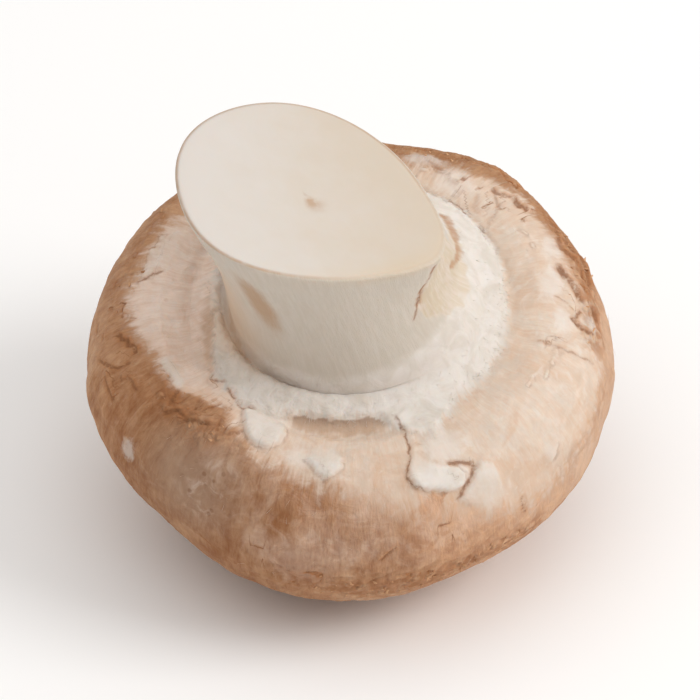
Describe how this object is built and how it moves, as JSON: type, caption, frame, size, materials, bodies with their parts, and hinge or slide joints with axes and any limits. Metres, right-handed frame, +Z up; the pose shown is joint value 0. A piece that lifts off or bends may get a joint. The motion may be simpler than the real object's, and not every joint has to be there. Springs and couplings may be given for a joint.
{
  "type": "button mushroom",
  "caption": "Whole brown button mushroom with a closed cap, a torn white veil and a short cut stem, resting on the crown of its cap with the stem up.",
  "frame": {"origin": "middle of the flat spot on the crown of the cap that the mushroom rests on", "axes": "+Z up, out of the surface that it rests on and roughly along the stem; -Y towards the front, the way that the stem is tipped; +X to the right seen from the front"},
  "size_m": [0.0488, 0.0475, 0.043],
  "materials": {
    "mushroom_flesh": "matt and soft: fibrous light brown skin over the cap and its shoulder, cottony white veil, smooth cream-white stem and cut"
  },
  "bodies": {
    "root": {"button_mushroom": "mushroom_flesh"}
  },
  "joints": []
}
